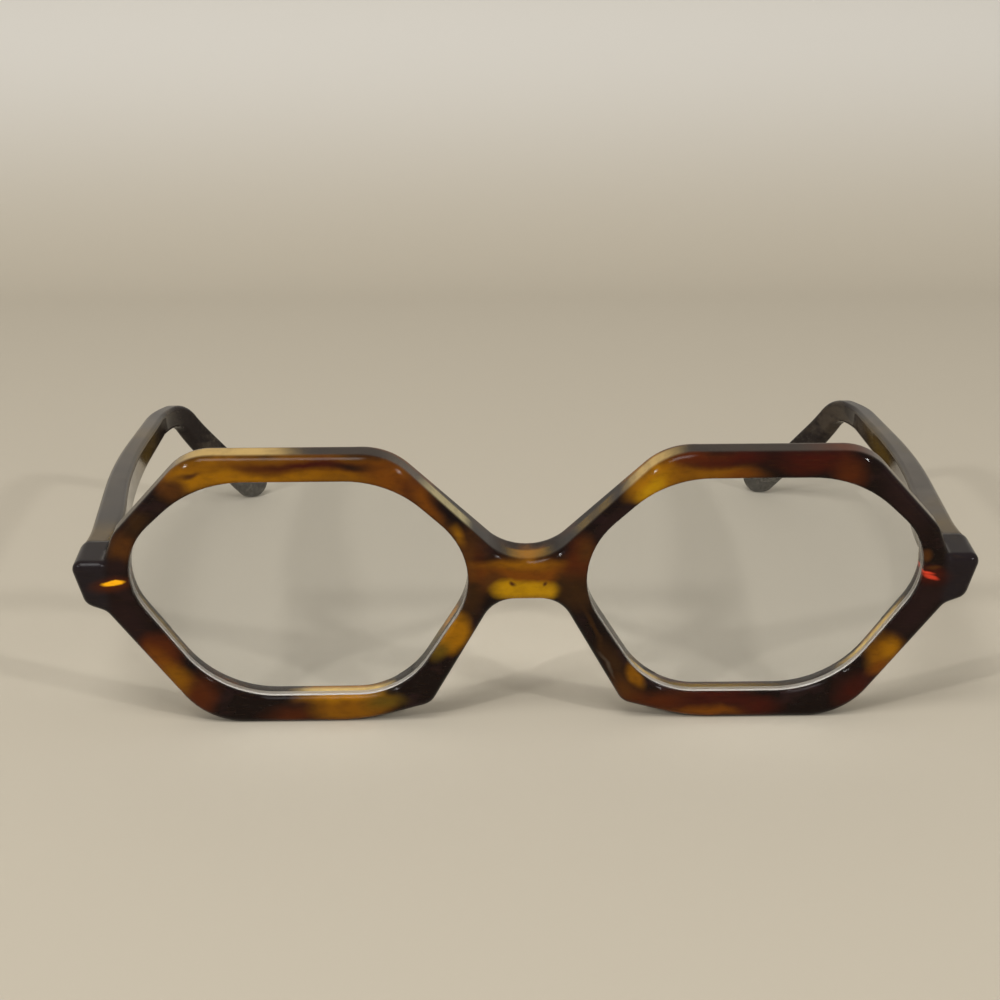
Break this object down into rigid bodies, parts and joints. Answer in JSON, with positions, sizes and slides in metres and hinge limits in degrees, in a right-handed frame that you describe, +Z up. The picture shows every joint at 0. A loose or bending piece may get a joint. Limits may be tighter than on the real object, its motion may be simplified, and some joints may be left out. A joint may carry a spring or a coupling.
{
  "type": "hexagonal eyeglasses",
  "caption": "Hexagonal eyeglasses with thick tortoiseshell acetate rims, clear lenses, a one-piece saddle bridge and hinged temples that fold behind the lenses.",
  "frame": {"origin": "on the ground in the middle of the box around the open glasses", "axes": "+X to the wearer's left along the front, +Y back along the temples, +Z up"},
  "size_m": [0.1412, 0.1218, 0.0438],
  "materials": {
    "front": "polished acetate, amber and dark brown tortoiseshell",
    "temples": "polished acetate, nearly black tortoiseshell",
    "lenses": "clear, polished, with a ground bevelled edge",
    "nose_pads": "polished acetate",
    "hinges": "nickel silver, lightly worn",
    "screws": "plain steel",
    "cores": "drawn nickel silver wire"
  },
  "bodies": {
    "front_body": {"front": "front", "lens_left": "lenses", "lens_right": "lenses", "nose_pad_left": "nose_pads", "nose_pad_right": "nose_pads", "front_hinge_left": "hinges", "front_hinge_right": "hinges", "hinge_screw_left": "screws", "hinge_screw_right": "screws"},
    "left_temple_body": {"temple_left": "temples", "temple_hinge_left": "hinges", "temple_core_left": "cores"},
    "right_temple_body": {"temple_right": "temples", "temple_hinge_right": "hinges", "temple_core_right": "cores"}
  },
  "joints": [
    {"name": "left_temple_fold", "type": "hinge", "parent": "front_body", "child": "left_temple_body", "pos_m": [0.06045, -0.05066, 0.02423], "axis": [0, 0.0209, 0.9998], "range_deg": [0, 84]},
    {"name": "right_temple_fold", "type": "hinge", "parent": "front_body", "child": "right_temple_body", "pos_m": [-0.06045, -0.05066, 0.02423], "axis": [0, -0.0209, -0.9998], "range_deg": [0, 62]}
  ]
}
